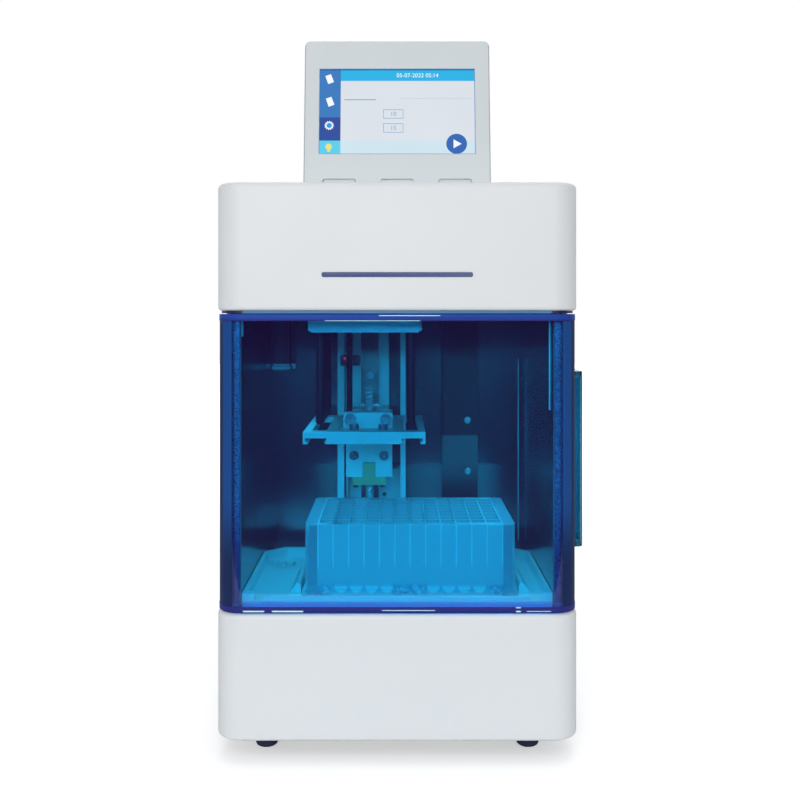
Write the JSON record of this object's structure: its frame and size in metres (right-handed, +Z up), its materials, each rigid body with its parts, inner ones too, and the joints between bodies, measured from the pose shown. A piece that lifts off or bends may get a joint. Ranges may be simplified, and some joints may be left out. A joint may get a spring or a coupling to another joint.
{
  "type": "nucleic acid extractor",
  "caption": "Bench-top nucleic acid extractor: a magnet head and comb head over a deep-well plate in a steel chamber behind a hinged blue door, with a tilting touch display on top.",
  "frame": {"origin": "on the surface it stands on, under the middle of the casing", "axes": "+X to the right as seen from the front, +Y to the back, +Z up"},
  "size_m": [0.2102, 0.2839, 0.4185],
  "materials": {
    "casing_white": "fine satin texture",
    "rubber_navy": "matt",
    "steel_sheet": "brushed, reflective",
    "screw_steel": "polished",
    "status_bar_blue": "gloss, translucent",
    "light_bar_white": "diffuser",
    "lamp_glass": "clear",
    "board_green": "satin",
    "plastic_black": "matt",
    "plastic_red": "gloss",
    "door_blue": "clear tinted gloss",
    "handle_blue": "translucent gloss",
    "display_grey": "satin",
    "screen_glass": "lit panel",
    "aluminium_bead": "bead blasted",
    "steel_ground": "ground",
    "motor_dark": "satin",
    "nut_green": "matt",
    "led_red": "lit",
    "black_steel": "black oxide",
    "plate_clear": "translucent"
  },
  "bodies": {
    "chassis": {"base_plate": "steel_sheet", "lower_casing": "casing_white", "rear_casing": "casing_white", "upper_casing": "casing_white", "status_light_bar": "status_bar_blue", "rubber_feet": "rubber_navy", "casing_screws": "screw_steel", "chamber_back_panel": "steel_sheet", "chamber_left_panel": "steel_sheet", "chamber_right_panel": "steel_sheet", "chamber_ceiling": "steel_sheet", "spill_tray": "aluminium_bead", "heater_block": "aluminium_bead", "plate_clips": "aluminium_bead", "cable_duct": "steel_sheet", "duct_screws": "screw_steel", "uv_lamp": "lamp_glass", "uv_lamp_holder": "aluminium_bead", "interior_light_bar": "light_bar_white", "x_beam": "aluminium_bead", "x_rail": "steel_ground", "x_motor": "motor_dark", "power_supply": "steel_sheet", "main_board": "board_green", "fan_frame": "plastic_black", "fan_guard": "screw_steel", "power_inlet": "plastic_black", "usb_port": "screw_steel", "display_hinge_base": "display_grey", "door_hinge_pins": "screw_steel", "door_catch": "screw_steel"},
    "door": {"door_shell": "door_blue", "door_handle": "handle_blue", "door_strike": "screw_steel"},
    "display": {"display_housing": "display_grey", "display_back": "display_grey", "touch_screen": "screen_glass"},
    "head_carriage": {"column": "aluminium_bead", "x_carriage_block": "steel_ground", "x_nut": "nut_green", "z_rail": "steel_ground", "comb_motor": "motor_dark", "home_sensor": "plastic_black", "sensor_led": "led_red"},
    "comb_head": {"comb_bracket": "aluminium_bead", "lift_block": "aluminium_bead", "comb_slider": "aluminium_bead", "comb_carriage_block": "steel_ground", "comb_nut": "nut_green", "head_screws": "screw_steel", "magnet_lift_screw": "black_steel"},
    "magnet_head": {"magnet_holder": "aluminium_bead", "magnet_rods": "black_steel", "magnet_carriage_block": "steel_ground", "magnet_motor": "motor_dark"},
    "x_drive_screw": {"x_screw": "screw_steel"},
    "comb_drive_screw": {"comb_screw": "screw_steel"},
    "well_plate": {"deep_well_plate": "plate_clear"},
    "impeller": {"fan_impeller": "plastic_black"},
    "rocker": {"power_rocker": "plastic_red"}
  },
  "joints": [
    {"name": "door_hinge", "type": "hinge", "parent": "chassis", "child": "door", "pos_m": [-0.0989, -0.102, 0.1677], "axis": [0, 0, -1], "range_deg": [0, 105]},
    {"name": "display_tilt", "type": "hinge", "parent": "chassis", "child": "display", "pos_m": [0, -0.0925, 0.3299], "axis": [-1, 0, 0], "range_deg": [-10, 30]},
    {"name": "head_x", "type": "slide", "parent": "chassis", "child": "head_carriage", "axis": [1, 0, 0], "range_m": [0, 0.0489]},
    {"name": "comb_z", "type": "slide", "parent": "head_carriage", "child": "comb_head", "axis": [0, 0, -1], "range_m": [0, 0.043]},
    {"name": "magnet_z", "type": "slide", "parent": "comb_head", "child": "magnet_head", "axis": [0, 0, -1], "range_m": [0, 0.052]},
    {"name": "x_screw_turn", "type": "hinge", "parent": "chassis", "child": "x_drive_screw", "pos_m": [0, 0.023, 0.3078], "axis": [1, 0, 0], "range_deg": [-2300, 2300]},
    {"name": "comb_screw_turn", "type": "hinge", "parent": "head_carriage", "child": "comb_drive_screw", "pos_m": [-0.0188, -0.0195, 0.1], "axis": [0, 0, 1], "range_deg": [-2000, 2000]},
    {"name": "plate_lift", "type": "slide", "parent": "chassis", "child": "well_plate", "axis": [0, 0, -1], "range_m": [-0.012, 0]},
    {"name": "fan_spin", "type": "hinge", "parent": "chassis", "child": "impeller", "pos_m": [0, 0.13, 0.178], "axis": [0, -1, 0], "continuous": true},
    {"name": "power_switch", "type": "hinge", "parent": "chassis", "child": "rocker", "pos_m": [-0.018, 0.1404, 0.043], "axis": [1, 0, 0], "range_deg": [-8, 8]}
  ],
  "couplings": [
    {"joint": "x_screw_turn", "follows": "head_x", "rad_per_m": -785.4},
    {"joint": "comb_screw_turn", "follows": "comb_z", "rad_per_m": 785.4}
  ]
}
